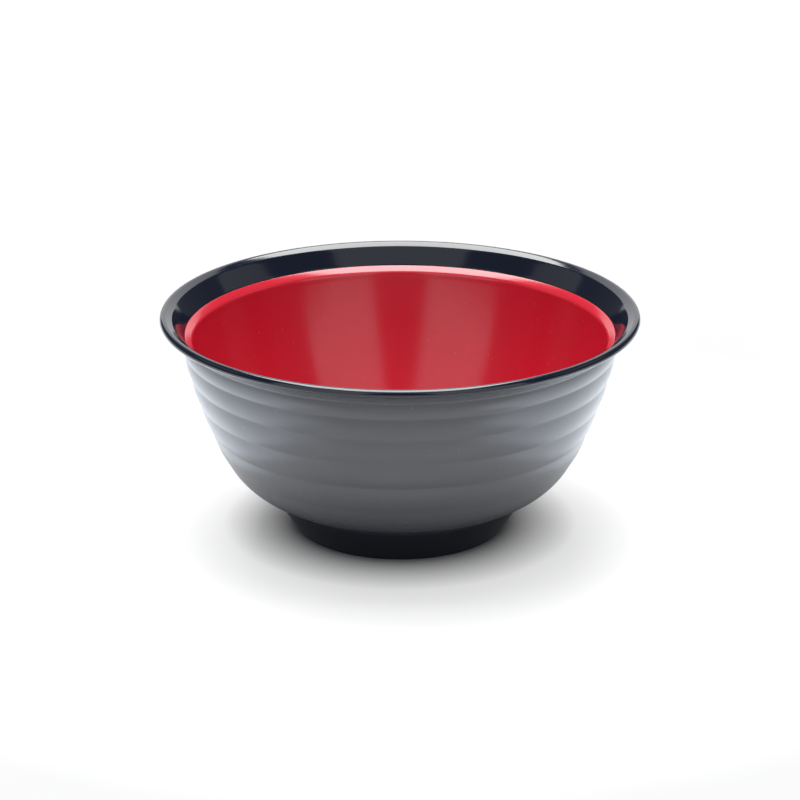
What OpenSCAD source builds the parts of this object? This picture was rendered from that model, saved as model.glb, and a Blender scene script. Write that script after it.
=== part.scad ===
// Two-tone melamine soup bowl: a black outer shell with a flared lip, a stepped wall
// and a foot ring, and a red liner moulded into it up to a rounded ledge.
// Every outline is a half section (radius, height) that is turned about the Z axis.

/* [Rim] */
// Diameter over the lip, in millimetres
rim_d = 180; // [150:1:230]
// Height from the table to the top of the lip
bowl_h = 84.7; // [70:0.1:105]
// How far the lip stands out from the wall below it
lip_overhang = 7.8; // [5:0.1:12]
// Height from the top of the lip down to where its underside meets the wall
lip_drop = 7.6; // [6:0.1:12]
// Depth of the lip's outer face, roundings included
lip_face = 2.6; // [2.4:0.1:4]
// Width of the lip's top, from its outer face to the edge where the inner flare starts
lip_top = 4.6; // [3.4:0.1:6]
// Slope of the lip's top, falling inwards, in degrees
lip_slope = 27; // [10:1:40]
// Rounding of the lip's top outer edge
lip_round = 1.7; // [0.6:0.1:1.9]
// Rounding of the lip's lower outer edge
lip_under_round = 0.7; // [0.3:0.1:0.9]
// How deep the cove under the lip is hollowed
lip_cove = 0.7; // [0:0.1:1.2]

/* [Stepped wall] */
// Diameter at the lowest crease, where the wall turns under
knuckle_d = 133; // [110:0.5:140]
// Height of that lowest crease above the table
knuckle_z = 29.5; // [25:0.5:36]
// Radius of the rounded turn from the wall to the bottom
knuckle_r = 29.2; // [23:0.2:31]
// How far the wall bows out from a straight line, over its whole height
wall_bow = 1.8; // [0.5:0.1:4]
// Number of tiers between the lip and the lowest crease
tier_count = 5; // [3:1:8]
// How much faster the tiers grow taller towards the foot
tier_growth = 1.27; // [1:0.01:1.5]
// How far each tier swells out between its two creases
tier_bulge = 0.55; // [0:0.05:0.8]

/* [Foot ring] */
// Diameter of the foot ring where it leaves the body
foot_top_d = 96.6; // [76:0.2:110]
// Diameter of the foot ring on the table
foot_base_d = 81.2; // [68:0.2:100]
// Width of the face that the bowl stands on
foot_rest = 3.6; // [2:0.1:6]
// Rounding of the foot ring's lower edges
foot_edge = 0.8; // [0.2:0.1:1.2]
// Radius of the cove between the body and the foot ring
foot_cove = 1.6; // [0.6:0.1:2.5]
// Draft of the inner side of the foot ring, over its whole depth
foot_draft = 1.2; // [0:0.1:3]

/* [Shell and liner] */
// Thickness of the shell, measured from the creases inwards
shell_t = 1.2; // [1:0.1:3]
// Thickness of the shell's bottom over the foot recess
bottom_t = 3.2; // [2:0.1:6]
// Thickness of the liner
liner_t = 2.4; // [1.4:0.1:3.5]
// Height from the top of the lip down to the liner's ledge
ledge_drop = 7.9; // [6.5:0.1:14]
// Height that the ledge falls inwards, from the shell to the upright face of the liner
ledge_fall = 3.2; // [2.4:0.1:5]
// Radius of the roll from the sloping ledge into the face of the liner
ledge_round = 2.0; // [0.4:0.1:2.2]
// Clearance kept for the bond line between shell and liner
bond_line = 0.1; // [0:0.05:0.3]

/* [Hidden] */
$fn = 180;
arc_steps = 12;
rim_r = rim_d / 2;
lip_under_z = bowl_h - lip_drop;
ledge_z = bowl_h - ledge_drop;
// The flare inside the lip ends at the ledge, or just under the lip where the ledge lies deeper
flare_z = max(ledge_z, lip_under_z - 0.5);
foot_top_r = foot_top_d / 2;
foot_base_r = foot_base_d / 2;
foot_inner_r = foot_base_r - foot_rest;

// The creases lie on one shallow arc from the wall's top to the knuckle
wall_top = [rim_r - lip_overhang, lip_under_z];
knuckle = [knuckle_d / 2, knuckle_z];
wall_chord = norm(wall_top - knuckle);
wall_r = (pow(wall_chord / 2, 2) + pow(wall_bow, 2)) / (2 * wall_bow);
wall_out = [wall_top.y - knuckle.y, knuckle.x - wall_top.x] / wall_chord;
wall_centre = (wall_top + knuckle) / 2 - wall_out * (wall_r - wall_bow);
knuckle_angle = asin((wall_centre.y - knuckle.y) / wall_r);
top_angle = asin((wall_centre.y - wall_top.y) / wall_r);

// The knuckle arc runs on smoothly from the wall arc and ends level
knuckle_centre = knuckle - knuckle_r * [cos(knuckle_angle), -sin(knuckle_angle)];
bottom_z = knuckle_centre.y - knuckle_r;
recess_z = bottom_z + shell_t - bottom_t;

// Height of the body's underside at a radius, on the knuckle arc or on the level bottom
function underside_z(r) = r <= knuckle_centre.x
    ? bottom_z
    : knuckle_centre.y - sqrt(pow(knuckle_r, 2) - pow(r - knuckle_centre.x, 2));

// Points of a circle from angle a0 to a1, counted from +R towards +Z
function turn(centre, r, a0, a1, steps = arc_steps) =
    [for (i = [0 : steps]) let (a = a0 + (a1 - a0) * i / steps) centre + r * [cos(a), sin(a)]];

// Points from p towards q, without q, that swell by bulge to the right of the way
function swell(p, q, bulge, steps = arc_steps) =
    let (way = q - p, side = [way.y, -way.x] / norm(way))
    [for (i = [0 : steps - 1]) let (t = i / steps) p + way * t + side * (4 * bulge * t * (1 - t))];

// Crease number i, counted from the lip down, on the wall arc
function crease(i) =
    let (a = top_angle + (knuckle_angle - top_angle) * pow(i / tier_count, tier_growth))
    wall_centre + wall_r * [cos(a), -sin(a)];

// Inner line at depth t behind the creases, from a height down to the axis
function inner_line(t, from_z) =
    let (start = asin((wall_centre.y - from_z) / (wall_r - t)))
    concat(
        turn(wall_centre, wall_r - t, -start, -knuckle_angle),
        turn(knuckle_centre, knuckle_r - t, -knuckle_angle, -90),
        [[0, bottom_z + t]]);

// Foot ring from the axis under the bottom, round its standing face, up to the body
function foot_line() =
    let (cove_r = foot_top_r + foot_cove, cove_z = underside_z(cove_r))
    concat(
        [[0, recess_z], [foot_inner_r - foot_draft, recess_z]],
        turn([foot_inner_r + foot_edge, foot_edge], foot_edge, 180, 270),
        turn([foot_base_r - foot_edge, foot_edge], foot_edge, 270, 360),
        turn([cove_r, cove_z - foot_cove], foot_cove, 180, 90));

// Knuckle and tiers, from the foot ring's cove up to the lip's underside
function wall_line() =
    let (reach = acos(max(0, foot_top_r + foot_cove - knuckle_centre.x) / knuckle_r))
    concat(
        turn(knuckle_centre, knuckle_r, -reach, -knuckle_angle),
        [for (i = [tier_count : -1 : 1]) each swell(crease(i), crease(i - 1), tier_bulge)]);

// Lip from the wall round its face and crown, then down its sloping top to the flare's edge
function lip_line() =
    let (
        face_z = bowl_h - lip_face,
        under = [rim_r - lip_under_round, face_z + lip_under_round],
        over = [rim_r - lip_round, bowl_h - lip_round],
        crown = turn(over, lip_round, 0, 90 + lip_slope, 8),
        fall = (crown[8].x - rim_r + lip_top) * tan(lip_slope))
    concat(
        swell(wall_top, [under.x, face_z], -lip_cove),
        turn(under, lip_under_round, 270, 360, 4),
        crown,
        [[rim_r - lip_top, crown[8].y - fall]]);

module outer_shell() {
    color([0.09, 0.09, 0.10])
        rotate_extrude()
            polygon(concat(foot_line(), wall_line(), lip_line(), inner_line(shell_t, flare_z)));
}

module inner_liner() {
    back = inner_line(shell_t + bond_line, ledge_z);
    face = inner_line(shell_t + bond_line + liner_t, ledge_z - ledge_fall);
    edge_centre = [face[0].x + ledge_round, ledge_z - ledge_fall];
    // The ledge runs from the back's top as a tangent to that roll
    reach = back[0] - edge_centre;
    slope_end = atan2(reach.y, reach.x) + acos(ledge_round / norm(reach));
    color([0.72, 0.08, 0.13])
        rotate_extrude()
            polygon(concat(
                [for (i = [len(face) - 1 : -1 : 0]) face[i]],
                turn(edge_centre, ledge_round, 180, slope_end, 6),
                back));
}

outer_shell();
inner_liner();
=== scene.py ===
# %% [markdown]
# # A two-tone melamine soup bowl
# The bowl is two mouldings: a black shell with a flared lip, a stepped wall and a foot ring, and a red
# liner that is pressed into it and ends in a rounded ledge below the lip. Both are bodies of
# revolution, so most of the lesson is about one half section, turned about the Z axis.
# The bowl could be modelled over the photograph alone, but then nothing would tie it to the solids of
# the CAD model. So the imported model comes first, as the fixed frame that gives the size and the place.

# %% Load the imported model
import math

import bpy
import numpy as np
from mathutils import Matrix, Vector


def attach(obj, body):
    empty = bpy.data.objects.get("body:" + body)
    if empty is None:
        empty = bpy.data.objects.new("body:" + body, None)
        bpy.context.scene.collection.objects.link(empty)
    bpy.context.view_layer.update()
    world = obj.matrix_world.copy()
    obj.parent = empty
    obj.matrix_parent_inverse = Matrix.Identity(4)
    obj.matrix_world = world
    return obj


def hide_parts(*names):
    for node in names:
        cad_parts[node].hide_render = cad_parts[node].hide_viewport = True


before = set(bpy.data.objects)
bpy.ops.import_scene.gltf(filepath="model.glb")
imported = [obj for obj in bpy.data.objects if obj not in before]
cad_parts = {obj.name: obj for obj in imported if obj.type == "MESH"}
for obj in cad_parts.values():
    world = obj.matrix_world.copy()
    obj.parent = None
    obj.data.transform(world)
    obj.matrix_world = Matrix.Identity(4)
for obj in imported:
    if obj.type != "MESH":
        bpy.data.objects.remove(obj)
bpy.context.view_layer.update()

# %% [markdown]
# ## The arcs of the wall and the knuckle
# The creases of the stepped wall lie on one shallow arc that runs from under the lip to the knuckle,
# the round turn above the foot ring. There a tighter arc takes over without a kink and ends level.
# The sizes are those of the CAD source, in millimetres, so that the smooth surfaces made here lie on
# the CAD solids. They could be measured from the imported mesh, but its facets would then show.
# The rim is 0.03 mm smaller than in the source, because a smooth circle reaches past a faceted one.

# %% Wall and knuckle
RIM_R = 89.97
BOWL_H = 84.7
LIP_OVERHANG = 7.8
LIP_DROP = 7.6
KNUCKLE = np.array([66.5, 29.5])
KNUCKLE_R = 29.2
WALL_BOW = 1.8

wall_top = np.array([RIM_R - LIP_OVERHANG, BOWL_H - LIP_DROP])
chord = wall_top - KNUCKLE
chord_length = np.hypot(*chord)
wall_r = ((chord_length / 2) ** 2 + WALL_BOW**2) / (2 * WALL_BOW)
wall_out = np.array([chord[1], -chord[0]]) / chord_length
wall_centre = (wall_top + KNUCKLE) / 2 - wall_out * (wall_r - WALL_BOW)
knuckle_angle = math.degrees(math.asin((wall_centre[1] - KNUCKLE[1]) / wall_r))
top_angle = math.degrees(math.asin((wall_centre[1] - wall_top[1]) / wall_r))
turn_in = math.radians(knuckle_angle)
knuckle_centre = KNUCKLE - KNUCKLE_R * np.array([math.cos(turn_in), -math.sin(turn_in)])
bottom_z = knuckle_centre[1] - KNUCKLE_R
print("wall arc radius", round(wall_r, 2), "mm, bottom at", round(bottom_z, 2), "mm")

# %% [markdown]
# ## Lines of the half section
# The mould of a real bowl is turned on a lathe, so its section is made of arcs and shallow swells. A
# curve object with hand-placed handles would do, but two small formulas give the same lines from the
# sizes alone: a circular arc, and a straight way with a parabola standing on it.

# %% Arcs and swells
LINE_POINTS = 60


def arc(centre, radius, start, stop):
    """Centre plus radius times (cos, sin) of an angle that runs evenly from start to stop degrees."""
    angle = np.radians(np.linspace(start, stop, LINE_POINTS))
    return np.stack([centre[0] + radius * np.cos(angle), centre[1] + radius * np.sin(angle)], axis=1)


def swell(p, q, bulge):
    """The straight way p + t (q - p) plus its right-hand normal times 4 bulge t (1 - t)."""
    way = np.subtract(q, p)
    side = np.array([way[1], -way[0]]) / np.hypot(*way)
    t = np.linspace(0, 1, LINE_POINTS)[:, None]
    return np.asarray(p) + way * t + side * (4 * bulge * t * (1 - t))


knuckle_ends = arc(knuckle_centre, KNUCKLE_R, -knuckle_angle, -90)[[0, -1]]
print("knuckle arc from and to, mm:", knuckle_ends.round(2).tolist())

# %% [markdown]
# ## The stepped wall
# Five soft tiers run round the outside of the bowl, and they grow taller towards the foot. Their
# creases could be placed one by one. A power of the tier's number gives the same growth from one
# value, and it keeps every crease on the wall's arc when a size changes.

# %% Tiers
TIERS = 5
TIER_GROWTH = 1.27
TIER_BULGE = 0.55


def crease_points():
    """Wall arc points at the angle top + (knuckle - top) (i / tiers) ^ growth, from the foot up."""
    share = (np.arange(TIERS + 1) / TIERS) ** TIER_GROWTH
    angle = np.radians(top_angle + (knuckle_angle - top_angle) * share)
    r = wall_centre[0] + wall_r * np.cos(angle)
    z = wall_centre[1] - wall_r * np.sin(angle)
    return np.stack([r, z], axis=1)[::-1]


creases = crease_points()
tier_line = np.concatenate([swell(p, q, TIER_BULGE) for p, q in zip(creases[:-1], creases[1:])])
print("creases at heights, mm:", creases[:, 1].round(1).tolist())

# %% [markdown]
# ## The foot ring
# The bowl stands on a tapering ring with a recess inside it. It could be a tube of its own that is
# joined to the bottom, but on the real bowl it belongs to the shell, so here it is a stretch of the
# shell's line: out from the axis under the bottom, round the standing face, up to a small cove, and
# on along the knuckle's arc.

# %% Foot ring and knuckle
FOOT_TOP_R = 48.3
FOOT_BASE_R = 40.6
FOOT_REST = 3.6
FOOT_EDGE = 0.8
FOOT_COVE = 1.6
FOOT_DRAFT = 1.2
SHELL_T = 1.2
BOTTOM_T = 3.2

foot_inner_r = FOOT_BASE_R - FOOT_REST
recess_z = bottom_z + SHELL_T - BOTTOM_T
cove_r = FOOT_TOP_R + FOOT_COVE
# The cove ends on the knuckle's circle, so its height there is the circle's at that radius
cove_z = knuckle_centre[1] - math.sqrt(KNUCKLE_R**2 - (cove_r - knuckle_centre[0]) ** 2)
foot_line = np.concatenate([
    swell((0, recess_z), (foot_inner_r - FOOT_DRAFT, recess_z), bulge=0),
    arc((foot_inner_r + FOOT_EDGE, FOOT_EDGE), FOOT_EDGE, 180, 270),
    arc((FOOT_BASE_R - FOOT_EDGE, FOOT_EDGE), FOOT_EDGE, 270, 360),
    arc((cove_r, cove_z - FOOT_COVE), FOOT_COVE, 180, 90),
])
cove_angle = math.degrees(math.acos((cove_r - knuckle_centre[0]) / KNUCKLE_R))
knuckle_line = arc(knuckle_centre, KNUCKLE_R, -cove_angle, -knuckle_angle)
print("foot ring:", 2 * FOOT_BASE_R, "mm across, recess", round(recess_z, 2), "mm deep")

# %% [markdown]
# ## The lip
# The lip stands out from the wall like a small shelf, and its top slopes inwards. A Bevel modifier
# could round a square lip. Here the rounds are arcs of the section, because their size decides how
# wide the bright line along the lip is.

# %% Lip
LIP_FACE = 2.6
LIP_TOP = 4.6
LIP_SLOPE = 27.0
LIP_ROUND = 1.7
LIP_UNDER_ROUND = 0.7
LIP_COVE = 0.7

face_z = BOWL_H - LIP_FACE
under_r = RIM_R - LIP_UNDER_ROUND
under_lip = swell(wall_top, (under_r, face_z), -LIP_COVE)
low_round = arc((under_r, face_z + LIP_UNDER_ROUND), LIP_UNDER_ROUND, 270, 360)
crown = arc((RIM_R - LIP_ROUND, BOWL_H - LIP_ROUND), LIP_ROUND, 0, 90 + LIP_SLOPE)
edge_r = RIM_R - LIP_TOP
edge_z = crown[-1, 1] - (crown[-1, 0] - edge_r) * math.tan(math.radians(LIP_SLOPE))
lip_line = np.concatenate([low_round, crown, [[edge_r, edge_z]]])
print("lip's inner edge: radius", round(edge_r, 2), "mm, height", round(edge_z, 2), "mm")

# %% [markdown]
# ## The line inside
# The shell's inside, the liner's back and the liner's face are one smooth line at three depths behind
# the creases. Each could be drawn by itself, but one function of the depth keeps both walls even.

# %% Inner line
LEDGE_DROP = 7.9
LEDGE_Z = BOWL_H - LEDGE_DROP


def inner_line(depth, from_z):
    """The wall arc and the knuckle arc, both smaller by depth, from a height down to the axis."""
    start = math.degrees(math.asin((wall_centre[1] - from_z) / (wall_r - depth)))
    level = bottom_z + depth
    return np.concatenate([
        arc(wall_centre, wall_r - depth, -start, -knuckle_angle),
        arc(knuckle_centre, KNUCKLE_R - depth, -knuckle_angle, -90),
        swell((knuckle_centre[0], level), (0, level), bulge=0),
    ])


shell_inside = inner_line(SHELL_T, LEDGE_Z)
print("shell's inside: radius", round(shell_inside[0, 0], 2), "mm at the ledge")

# %% [markdown]
# ## The black shell's section
# The line runs from the axis under the bottom, round the foot ring, up the five tiers, round the lip
# and down the inside, where the liner hides it. Beside each point goes a number that says how satin
# the surface is there. The mould is blasted on the stepped wall and on most of the lip's underside,
# and polished on the lip, the band inside it and the foot ring. Several materials could do this, but
# with one number that rides on the section the finish fades over within a millimetre.

# %% Shell section
SATIN = 1.0
GLOSS = 0.0
BLASTED_UNDER_LIP = 0.66

blasted, polished = np.split(under_lip, [int(BLASTED_UNDER_LIP * LINE_POINTS)])
stretches = [
    (foot_line, GLOSS),
    (knuckle_line, SATIN),
    (tier_line, SATIN),
    (blasted, SATIN),
    (polished, GLOSS),
    (lip_line, GLOSS),
    (shell_inside, GLOSS),
]
shell_line = np.concatenate([points for points, _ in stretches])
shell_satin = np.concatenate([np.full(len(points), share) for points, share in stretches])
print("shell section:", len(shell_line), "points,", round(shell_line[:, 0].max(), 2), "mm radius")

# %% [markdown]
# ## The red liner's section
# The liner is the red moulding that shows inside the bowl. Its back lies a bond line's width inside
# the shell, and its face is the same line, moved in by the liner's thickness. The ledge at its top
# could be drawn point by point. Here its straight part is the tangent from the back's top to the
# circle that rolls over into the face, so the ledge has no kink there, whatever the sizes are.

# %% Liner section
LINER_T = 2.4
BOND_LINE = 0.1
LEDGE_FALL = 3.2
LEDGE_ROUND = 2.0

back_depth = SHELL_T + BOND_LINE
back = inner_line(back_depth, LEDGE_Z)[::-1]
face = inner_line(back_depth + LINER_T, LEDGE_Z - LEDGE_FALL)
roll_centre = face[0] + (LEDGE_ROUND, 0)
to_back = back[-1] - roll_centre
# A tangent touches the circle at the angle acos(radius / distance) from the way to its far end
slope_end = math.atan2(to_back[1], to_back[0]) + math.acos(LEDGE_ROUND / np.hypot(*to_back))
roll = arc(roll_centre, LEDGE_ROUND, math.degrees(slope_end), 180)
liner_line = np.concatenate([back, roll, face])
print("liner section:", len(liner_line), "points, ledge at", round(LEDGE_Z, 2), "mm")

# %% [markdown]
# ## Softening the sections
# A moulded edge is never sharp, and a gloss shows every corner. A Bevel modifier would round the
# edges, but it also moves the points of the long curves beside them. Here the line is laid out
# evenly, then each point takes the mean of its neighbours under a bell curve, which rounds a crease
# by a fraction of a millimetre and leaves slow curves as they are.

# %% Soften
EVEN_STEP = 0.04
SAME_POINT = 1e-6
BELL_REACH = 4
SHELL_SOFTNESS = 0.18
LINER_SOFTNESS = 0.2


def along(line):
    """Distance from the first point, measured along the line."""
    return np.concatenate([[0], np.cumsum(np.hypot(*np.diff(line, axis=0).T))])


def soften(line, share, radius):
    """Even spacing, then the mean of the points at distance d, weighted by exp(-(d / radius)^2 / 2).

    Past the axis the line is mirrored: the radius changes its sign there, the height and share don't.
    """
    keep = np.concatenate([[True], np.hypot(*np.diff(line, axis=0).T) > SAME_POINT])
    line, share = line[keep], share[keep]
    far = along(line)
    even = np.linspace(0, far[-1], int(far[-1] / EVEN_STEP))
    columns = [np.interp(even, far, values) for values in (line[:, 0], line[:, 1], share)]
    half = int(BELL_REACH * radius / EVEN_STEP)
    weight = np.exp(-0.5 * (np.arange(-half, half + 1) * EVEN_STEP / radius) ** 2)
    weight /= weight.sum()
    wide = [
        np.concatenate([sign * c[half:0:-1], c, sign * c[-2:-half - 2:-1]])
        for sign, c in zip((-1, 1, 1), columns)
    ]
    r, z, soft_share = [np.convolve(c, weight, mode="valid") for c in wide]
    r[[0, -1]] = 0
    return np.stack([np.maximum(r, 0), z], axis=1), soft_share


soft_shell, soft_satin = soften(shell_line, shell_satin, SHELL_SOFTNESS)
soft_liner, no_satin = soften(liner_line, np.zeros(len(liner_line)), LINER_SOFTNESS)
print("softened sections:", len(soft_shell), "and", len(soft_liner), "points")

# %% [markdown]
# ## Dealing out the points
# The softened lines have far more points than a mesh needs. Every tenth point could be kept, but the
# small rounds of the lip would then be coarse and the long curves too fine. So the points are dealt
# out anew, closer where the line bends, and sparsely where the liner hides the shell.

# %% Deal out
BEND_WEIGHT = 7.0
HIDDEN_PACE = 0.3
HIDDEN_BELOW_LEDGE = 1.0
SHELL_POINTS = 290
LINER_POINTS = 200


def behind_liner(points):
    """What follows the lip on the shell's line and lies lower than the ledge by HIDDEN_BELOW_LEDGE."""
    after_lip = np.arange(len(points)) > points[:, 1].argmax()
    return after_lip & (points[:, 1] < LEDGE_Z - HIDDEN_BELOW_LEDGE)


def deal_out(line, share, count, hidden=None):
    """Points at even steps of a sum that grows by 1 per millimetre and by BEND_WEIGHT per radian.

    Where hidden says so, the sum grows at HIDDEN_PACE times that.
    """
    far = along(line)
    way = np.diff(line, axis=0)
    heading = np.unwrap(np.arctan2(way[:, 1], way[:, 0]))
    bend = np.concatenate([np.abs(np.diff(heading)), [0]])
    pace = np.diff(far) + BEND_WEIGHT * bend
    if hidden is not None:
        pace = np.where(hidden(line[1:]), HIDDEN_PACE * pace, pace)
    run = np.concatenate([[0], np.cumsum(pace)])
    at = np.interp(np.linspace(0, run[-1], count), run, far)
    r, z, dealt_share = [np.interp(at, far, values) for values in (line[:, 0], line[:, 1], share)]
    return np.stack([r, z], axis=1), dealt_share


shell_points, satin_points = deal_out(soft_shell, soft_satin, SHELL_POINTS, hidden=behind_liner)
liner_points, _ = deal_out(soft_liner, no_satin, LINER_POINTS)
widest_steps = [np.diff(along(points)).max() for points in (shell_points, liner_points)]
print("widest steps, mm:", np.round(widest_steps, 2).tolist())

# %% [markdown]
# ## Turning a section into a solid
# A lathe-like Screw modifier could turn the line, but a grid of angles and section points is one line
# of numpy, and it closes itself: the last column of faces joins the first, and the two ends of the
# line lie on the axis as single points with a fan of triangles round each.

# %% Turn a section about the axis
MM = 0.001
AROUND = 320


def turned_points(line):
    """Point (j, i) is (r_j cos a_i, r_j sin a_i, z_j), a_i even over the turn. The two poles follow."""
    angle = np.linspace(0, 2 * np.pi, AROUND, endpoint=False)
    r, z = line[1:-1, 0][:, None], line[1:-1, 1][:, None]
    height = np.broadcast_to(z, (len(z), AROUND))
    rings = np.stack([r * np.cos(angle), r * np.sin(angle), height], axis=-1)
    poles = [[0, 0, line[0, 1]], [0, 0, line[-1, 1]]]
    return np.concatenate([rings.reshape(-1, 3), poles]) * MM


def turned_faces(ring_count):
    """Quads from ring j, step i to ring j + 1, step i + 1, counted round, and a fan at each pole."""
    i = np.arange(AROUND)
    after = (i + 1) % AROUND
    row = (np.arange(ring_count - 1) * AROUND)[:, None]
    corners = [row + i, row + after, row + AROUND + after, row + AROUND + i]
    quads = np.stack(corners, axis=-1).reshape(-1, 4)
    low_pole, high_pole = ring_count * AROUND, ring_count * AROUND + 1
    last = (ring_count - 1) * AROUND
    low_fan = np.stack([np.full(AROUND, low_pole), after, i], axis=-1)
    high_fan = np.stack([last + i, last + after, np.full(AROUND, high_pole)], axis=-1)
    return quads.tolist() + low_fan.tolist() + high_fan.tolist()


def turned_solid(name, line):
    """A smooth mesh object from a section whose two ends lie on the axis."""
    mesh = bpy.data.meshes.new(name)
    mesh.from_pydata(turned_points(line).tolist(), [], turned_faces(len(line) - 2))
    mesh.polygons.foreach_set("use_smooth", np.ones(len(mesh.polygons), dtype=bool))
    mesh.update()
    piece = bpy.data.objects.new(name, mesh)
    bpy.context.scene.collection.objects.link(piece)
    return piece


black_shell = turned_solid("black_shell", shell_points)
red_liner = turned_solid("red_liner", liner_points)
print("faces:", len(black_shell.data.polygons), "shell,", len(red_liner.data.polygons), "liner")

# %% [markdown]
# ## The black shell
# The shell is the outer moulding, from the lip to the foot ring. The CAD node could stay and take a
# finish, but its facets would show in the polished lip, so the turned surface takes its place. The
# satin share of each section point goes round its whole ring, as an attribute that the finish reads.


# %% Black shell
def carry(piece, name, values):
    """Writes one number per section point to every point of its ring, and to the two poles."""
    numbers = np.concatenate([np.repeat(values[1:-1], AROUND), values[[0, -1]]]).astype(np.float32)
    layer = piece.data.attributes.new(name, "FLOAT", "POINT")
    layer.data.foreach_set("value", numbers)


carry(black_shell, "satin", satin_points)
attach(black_shell, "root")
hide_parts("outer_shell")
print("satin share of the shell's points:", round(float(satin_points.mean()), 2))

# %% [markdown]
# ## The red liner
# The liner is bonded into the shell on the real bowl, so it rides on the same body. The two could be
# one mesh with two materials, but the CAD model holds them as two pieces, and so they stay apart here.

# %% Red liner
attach(red_liner, "root")
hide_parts("inner_liner")
print("liner's top, mm:", round(liner_points[:, 1].max(), 2))

# %% [markdown]
# ## Black melamine
# The shell is one black moulding with two finishes. The blasted wall scatters light and reads as a
# soft grey, and the polished lip, band and foot ring read as deep black with sharp reflections. Two
# materials would need a hard border between faces, so one material reads the satin share. Its nodes
# work on Object coordinates, so that a grain has a real size and stays put on the piece.


# %% Start of the black finish
def new_finish(name):
    """A material with its node tree, its Principled shader and its Object coordinates."""
    material = bpy.data.materials.new(name)
    material.use_nodes = True
    tree = material.node_tree
    shader = tree.nodes["Principled BSDF"]
    place = tree.nodes.new("ShaderNodeTexCoord").outputs["Object"]
    return material, tree, shader, place


black, tree, shader, place = new_finish("black_melamine_finish")
satin_node = tree.nodes.new("ShaderNodeAttribute")
satin_node.attribute_name = "satin"
satin = satin_node.outputs["Fac"]
print("black finish reads:", satin_node.attribute_name)

# %% [markdown]
# ## Clouds and dust in the black
# A pressed wall is never one even grey: it is a little cloudy, and it holds pale specks of dust. A
# painted image could show both, but it needs a flat layout of the surface and has seams. Noise nodes
# fill space, so they have no seams. A narrow window near the noise's peak leaves only small specks.

# %% Clouds and dust
NOISE_MIDDLE = (0.3, 0.7)
DUST_PEAKS = (0.84, 0.88)
DUST_STRENGTH = 0.5


def grain(tree, place, size_mm, detail=2.0, roughness=0.5):
    """Noise whose features are about size_mm across."""
    node = tree.nodes.new("ShaderNodeTexNoise")
    node.inputs["Scale"].default_value = 1 / MM / size_mm
    node.inputs["Detail"].default_value = detail
    node.inputs["Roughness"].default_value = roughness
    tree.links.new(place, node.inputs["Vector"])
    return node.outputs["Fac"]


def spread(tree, value, low, high, to_low, to_high):
    """Maps the range low to high onto to_low to to_high, and holds it there."""
    node = tree.nodes.new("ShaderNodeMapRange")
    sockets = ("From Min", "From Max", "To Min", "To Max")
    for socket, number in zip(sockets, (low, high, to_low, to_high)):
        node.inputs[socket].default_value = number
    tree.links.new(value, node.inputs["Value"])
    return node.outputs["Result"]


cloud = spread(tree, grain(tree, place, size_mm=38, detail=3), *NOISE_MIDDLE, 0.0, 1.0)
dust = spread(tree, grain(tree, place, size_mm=0.9, detail=0), *DUST_PEAKS, 0.0, DUST_STRENGTH)
print("black finish:", len(tree.nodes), "nodes with clouds and dust")

# %% [markdown]
# ## Colour of the black
# Blasting roughens the black so that the wall looks grey, a little blue, while the polished parts
# keep the deep black of the resin. One colour with two degrees of gloss could stand for both, but the
# wall would then be too dark, so the satin share mixes two colours. Dust shows on the wall only.

# %% Black colour
WALL_GREYS = ((0.060, 0.064, 0.075, 1), (0.072, 0.076, 0.088, 1))
GLOSS_BLACK = (0.002, 0.005, 0.015, 1)
DUST_GREY = (0.30, 0.29, 0.30, 1)


def plug(tree, source, socket):
    """Links an output, or sets a number or a colour."""
    if isinstance(source, bpy.types.NodeSocket):
        tree.links.new(source, socket)
    else:
        socket.default_value = source


def combine(tree, operation, a, b):
    """Both numbers put together by one Math node: their sum, their product or the larger one."""
    node = tree.nodes.new("ShaderNodeMath")
    node.operation = operation
    plug(tree, a, node.inputs[0])
    plug(tree, b, node.inputs[1])
    return node.outputs["Value"]


def tint(tree, share, a, b):
    """Colour a where share is 0, b where it is 1. Sockets 6, 7 and 2 are a Mix node's colours."""
    node = tree.nodes.new("ShaderNodeMix")
    node.data_type = "RGBA"
    plug(tree, share, node.inputs["Factor"])
    plug(tree, a, node.inputs[6])
    plug(tree, b, node.inputs[7])
    return node.outputs[2]


clean_black = tint(tree, satin, GLOSS_BLACK, tint(tree, cloud, *WALL_GREYS))
dusty_black = tint(tree, combine(tree, "MULTIPLY", dust, satin), clean_black, DUST_GREY)
tree.links.new(dusty_black, shader.inputs["Base Color"])
print("black finish:", len(tree.nodes), "nodes with its colour")

# %% [markdown]
# ## Gloss of the black
# Hands and stacking rub a satin wall unevenly, and a polish is never quite even either. One number
# for each could do, but the highlights would look painted on, so a slow noise moves both a little.

# %% Black gloss
MELAMINE_IOR = 1.66
SATIN_ROUGHNESS = 0.30
RUB_NOISE = (0.35, 0.7)
RUBBED = (-0.01, 0.035)
GLOSS_ROUGHNESS = (0.09, 0.12)


def blend(tree, share, a, b):
    """Number a where share is 0, number b where it is 1."""
    node = tree.nodes.new("ShaderNodeMix")
    plug(tree, share, node.inputs["Factor"])
    plug(tree, a, node.inputs["A"])
    plug(tree, b, node.inputs["B"])
    return node.outputs["Result"]


patches = grain(tree, place, size_mm=16, detail=4, roughness=0.65)
wall_rough = combine(tree, "ADD", spread(tree, patches, *RUB_NOISE, *RUBBED), SATIN_ROUGHNESS)
gloss_rough = spread(tree, grain(tree, place, size_mm=9), *NOISE_MIDDLE, *GLOSS_ROUGHNESS)
tree.links.new(blend(tree, satin, gloss_rough, wall_rough), shader.inputs["Roughness"])
shader.inputs["IOR"].default_value = MELAMINE_IOR
print("black finish:", len(tree.nodes), "nodes with its gloss")

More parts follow.
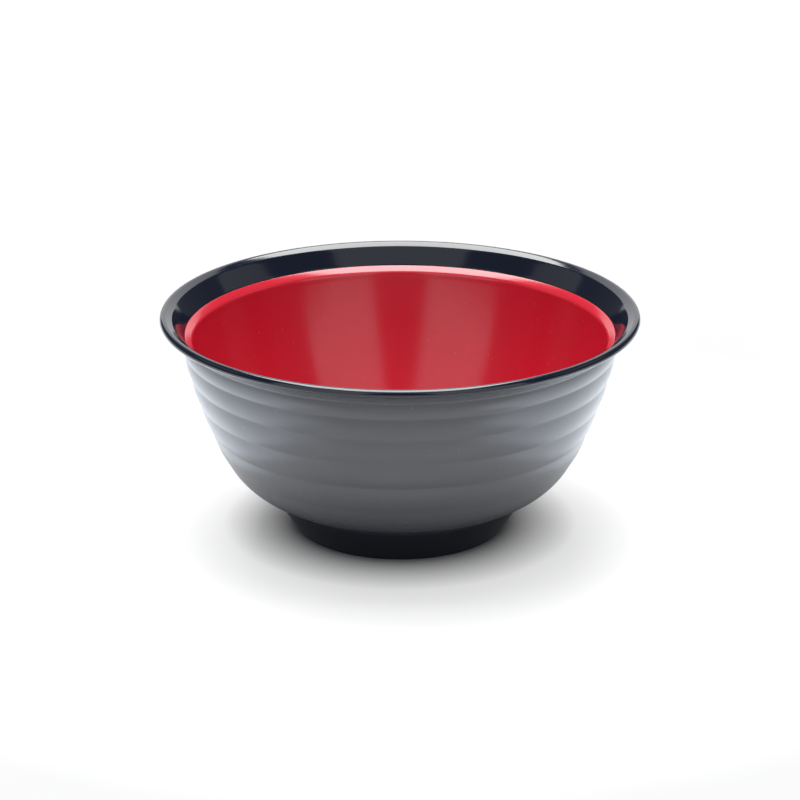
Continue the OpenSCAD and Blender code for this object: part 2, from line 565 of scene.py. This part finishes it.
# %% [markdown]
# ## Waver in the black gloss
# Melamine shrinks a little as it cures, so a reflection on it wavers. The points of the mesh could be
# moved, but the waver is only hundredths of a millimetre, so a bump on the normal is enough.


# %% Black waver
def relief(tree, height, depth_mm):
    """A bump of that depth for the shader's normal."""
    node = tree.nodes.new("ShaderNodeBump")
    node.inputs["Strength"].default_value = 1.0
    node.inputs["Distance"].default_value = depth_mm * MM
    tree.links.new(height, node.inputs["Height"])
    return node.outputs["Normal"]


waver = grain(tree, place, size_mm=24, detail=1)
tree.links.new(relief(tree, waver, depth_mm=0.02), shader.inputs["Normal"])
black_shell.data.materials.append(black)
print("black finish:", len(tree.nodes), "nodes")

# %% [markdown]
# ## Red melamine
# The liner is polished all over, under a thin clear glaze. Its red is deep and even. A clear coat on
# the shader could stand for the glaze, but glaze and melamine have much the same gloss, so one layer
# is enough. A slow change of tone, a few pale specks, a haze in the gloss and a slight orange peel
# keep it from looking like a fill.

# %% Red finish
REDS = ((0.48, 0.010, 0.026, 1), (0.51, 0.011, 0.029, 1))
PALE_SPECK = (0.55, 0.14, 0.15, 1)
SPECK_PEAKS = (0.82, 0.86)
SPECK_STRENGTH = 0.35
HAZE_NOISE = (0.3, 0.75)
HAZE_ROUGHNESS = (0.15, 0.20)

red, tree, shader, place = new_finish("red_melamine_finish")
tone = spread(tree, grain(tree, place, size_mm=45, detail=3), *NOISE_MIDDLE, 0.0, 1.0)
speck = spread(tree, grain(tree, place, size_mm=1.1, detail=0), *SPECK_PEAKS, 0.0, SPECK_STRENGTH)
specked_red = tint(tree, speck, tint(tree, tone, *REDS), PALE_SPECK)
tree.links.new(specked_red, shader.inputs["Base Color"])

haze = grain(tree, place, size_mm=14, detail=4, roughness=0.6)
tree.links.new(spread(tree, haze, *HAZE_NOISE, *HAZE_ROUGHNESS), shader.inputs["Roughness"])
shader.inputs["IOR"].default_value = MELAMINE_IOR

peel = grain(tree, place, size_mm=5.5, detail=1)
tree.links.new(relief(tree, peel, depth_mm=0.01), shader.inputs["Normal"])
red_liner.data.materials.append(red)
print("red finish:", len(tree.nodes), "nodes")

# %% [markdown]
# ## The floor
# A plain wide table that the bowl stands on. A backdrop that curves up behind would hide the horizon
# from one side, but a flat sheet that reaches far enough looks the same from every side.

# %% Floor
FLOOR_HALF = 12.0

floor_mesh = bpy.data.meshes.new("pale_floor")
corners = FLOOR_HALF * np.array([[-1, -1, 0], [1, -1, 0], [1, 1, 0], [-1, 1, 0]])
floor_mesh.from_pydata(corners.tolist(), [], [[0, 1, 2, 3]])
floor = bpy.data.objects.new("pale_floor", floor_mesh)
bpy.context.scene.collection.objects.link(floor)
print("floor:", 2 * FLOOR_HALF, "m wide")

# %% [markdown]
# ## The floor's paint
# A white table is a matt sheet with a faint unevenness. White paint under these lamps could do, but
# it would throw a lot of light up at the wall as well. So the paint is a middle grey with no gloss,
# and the next step lifts it where it is seen.

# %% Floor paint
PAPER_GREYS = ((0.40, 0.40, 0.40, 1), (0.41, 0.41, 0.41, 1))

paint, tree, shader, place = new_finish("pale_floor_paint")
paper = spread(tree, grain(tree, place, size_mm=60), *NOISE_MIDDLE, 0.0, 1.0)
tree.links.new(tint(tree, paper, *PAPER_GREYS), shader.inputs["Base Color"])
shader.inputs["Roughness"].default_value = 0.9
shader.inputs["Specular IOR Level"].default_value = 0.0
floor_mesh.materials.append(paint)
print("floor paint:", len(tree.nodes), "nodes")

# %% [markdown]
# ## The floor's lift
# More lamps would turn the floor white, and would burn out the bowl as well. Instead the paint glows
# by itself, for the camera's rays and for mirrored rays only, so it shows and is mirrored but casts
# no light. The lift sets in a little way out from the foot ring, so that the shadow at the foot
# stays, and so that the foot ring mirrors the dark of that shadow. In the open, where the lamps reach
# the floor, it sinks again. Far out, past the lamps, the camera's share of it rises to white.
# Distances are in metres.

# %% Floor lift
FULL_LIFT = 0.60
OPEN_SHARE = 0.35
SEEN_FROM_FOOT = (0.041, 0.068)
MIRRORED_FROM_FOOT = (0.050, 0.090)
INTO_THE_OPEN = (0.11, 0.24)
FAR_OUT = (0.30, 0.80)

measure = tree.nodes.new("ShaderNodeVectorMath")
measure.operation = "LENGTH"
tree.links.new(place, measure.inputs[0])
distance = measure.outputs["Value"]
in_the_open = spread(tree, distance, *INTO_THE_OPEN, 1.0, OPEN_SHARE)
seen_near = spread(tree, distance, *SEEN_FROM_FOOT, 0.0, FULL_LIFT)
seen_far = spread(tree, distance, *FAR_OUT, 0.0, 1.0)
seen_lift = combine(tree, "MAXIMUM", combine(tree, "MULTIPLY", seen_near, in_the_open), seen_far)
mirrored_near = spread(tree, distance, *MIRRORED_FROM_FOOT, 0.0, FULL_LIFT)
mirrored_lift = combine(tree, "MULTIPLY", mirrored_near, in_the_open)

rays = tree.nodes.new("ShaderNodeLightPath").outputs
mirrored_ray = combine(tree, "MAXIMUM", rays["Is Glossy Ray"], rays["Is Transmission Ray"])
seen = combine(tree, "MULTIPLY", rays["Is Camera Ray"], seen_lift)
mirrored = combine(tree, "MULTIPLY", mirrored_ray, mirrored_lift)
tree.links.new(combine(tree, "MAXIMUM", seen, mirrored), shader.inputs["Emission Strength"])
shader.inputs["Emission Color"].default_value = (1, 1, 1, 1)
print("floor paint:", len(tree.nodes), "nodes with its lift")

# %% [markdown]
# ## The room
# Between the lamps the gloss mirrors the room. A bright world could light the bowl by itself, but it
# would wash out the black band and the foot ring. So the world is a dim even grey, which only keeps
# their darkest parts from going empty.

# %% World
ROOM_GREY = (0.12, 0.12, 0.125, 1)

world = bpy.data.worlds.new("studio")
bpy.context.scene.world = world
world.use_nodes = True
world.node_tree.nodes["Background"].inputs["Color"].default_value = ROOM_GREY
print("room's grey:", ROOM_GREY[:3])

# %% [markdown]
# ## Soft boxes
# A wide soft box hangs overhead and a little behind, where the sloping lip and ledge mirror it, and a
# smaller one hangs further forward. Two dimmer boxes stand left and right of the camera with a gap
# between them, and the red face mirrors them as two paler stripes. Mesh planes that glow could do
# this too, but area lamps show in gloss as real soft boxes do, with less noise.

# %% Soft boxes
SIDES = {"left": -1, "right": 1}
FRONT_COLOURS = {"left": (0.92, 0.96, 1.0), "right": (0.96, 0.98, 1.0)}


def softbox(name, place, size, radiance, colour=(1, 1, 1), aim=(0, 0, 0.05)):
    """A rectangular lamp that faces aim. Its power is radiance times pi times its area."""
    lamp = bpy.data.lights.new(name, "AREA")
    lamp.shape = "RECTANGLE"
    lamp.size, lamp.size_y = size
    lamp.energy = radiance * math.pi * size[0] * size[1]
    lamp.color = colour
    box = bpy.data.objects.new(name, lamp)
    bpy.context.scene.collection.objects.link(box)
    box.location = place
    box.rotation_euler = (Vector(aim) - Vector(place)).to_track_quat("-Z", "Y").to_euler()
    box.visible_camera = False


def facing_down(name, place, size, radiance):
    """A lamp that looks straight down from its place."""
    softbox(name, place, size, radiance, aim=(place[0], place[1], 0))


def around(azimuth, elevation, distance):
    """The point at that distance from the origin. Azimuth 0 is the camera's side, positive is right."""
    a, e = math.radians(azimuth), math.radians(elevation)
    level = distance * math.cos(e)
    return (level * math.sin(a), -level * math.cos(a), distance * math.sin(e))


facing_down("softbox_overhead", (-0.175, 0.825, 2.6), size=(2.15, 2.55), radiance=8.0)
facing_down("softbox_overhead_front", (0, -0.49, 2.6), size=(1.6, 0.52), radiance=5.0)
for side, sign in SIDES.items():
    spot = around(azimuth=sign * 37, elevation=25.5, distance=1.3)
    softbox(f"softbox_{side}", spot, size=(1.0, 0.97), radiance=0.78, colour=FRONT_COLOURS[side])
print("soft boxes:", len(bpy.data.lights))

# %% [markdown]
# ## Light from the table
# A bright table throws light back up at the wall, most of it at the sides. A white floor could do so
# by itself, but then its share can't be set apart from its look. Weak lamps that lie on the table and
# look up stand for that light, with one thin strip in front.

# %% Table glow
GLOW_HEIGHT = 0.003
SKY_BLUE = (0.78, 0.89, 1.0)
PALE_BLUE = (0.90, 0.95, 1.0)


def table_glow(name, place, size, radiance, colour):
    """A lamp that lies just over the table and looks straight up."""
    softbox(name, (*place, GLOW_HEIGHT), size, radiance, colour, aim=(*place, 1))


for side, sign in SIDES.items():
    spot = (sign * 0.20, 0.035)
    table_glow(f"table_glow_{side}", spot, size=(0.22, 0.37), radiance=1.20, colour=SKY_BLUE)
table_glow("table_glow_front", (0, -0.108), size=(0.22, 0.045), radiance=0.15, colour=PALE_BLUE)
print("lamps with the table's glow:", len(bpy.data.lights))

# %% [markdown]
# ## The studio's ceiling and walls
# A polished black shows whatever stands around it. Real walls could be built as planes, but they
# would stand in the way of the soft boxes, so a dim ceiling in front, a pale wall behind and two dim
# sides are lamps as well.

# %% Ceiling and walls
facing_down("ceiling_front", (0, -1.26, 2.2), size=(2.6, 1.43), radiance=0.42)
softbox("wall_behind", (0, 2.4, 1.28), size=(2.34, 2.2), radiance=1.0, aim=(0, 0, 1.28))
for side, sign in SIDES.items():
    spot = around(azimuth=sign * 100, elevation=33, distance=1.6)
    softbox(f"side_{side}", spot, size=(0.85, 0.42), radiance=0.30)
print("lamps in all:", len(bpy.data.lights))

# %% [markdown]
# ## Camera
# The photograph looks down on the bowl at about 20 degrees from a metre away, as a lens fitted to the
# outline gives it. The camera could be turned by eye, but the fitted numbers put the rim and the foot
# ring where they are in the photograph. The image is square, so the sensor's width counts both ways.

# %% Camera
IMAGE_PIXELS = 800
FOCAL_PIXELS = 2808.48
SENSOR_MM = 36.0
CAMERA_PLACE = (0, -1.0, 0.41638)
LOOKS_DOWN = 20.195

camera = bpy.data.cameras.new("camera")
camera.sensor_width = SENSOR_MM
camera.lens = FOCAL_PIXELS / IMAGE_PIXELS * SENSOR_MM
camera_object = bpy.data.objects.new("camera", camera)
bpy.context.scene.collection.objects.link(camera_object)
camera_object.location = CAMERA_PLACE
camera_object.rotation_euler = (math.radians(90 - LOOKS_DOWN), 0, 0)
bpy.context.scene.camera = camera_object
bpy.context.scene.view_settings.view_transform = "Standard"
print("lens:", round(camera.lens, 1), "mm, looking down", LOOKS_DOWN, "degrees")
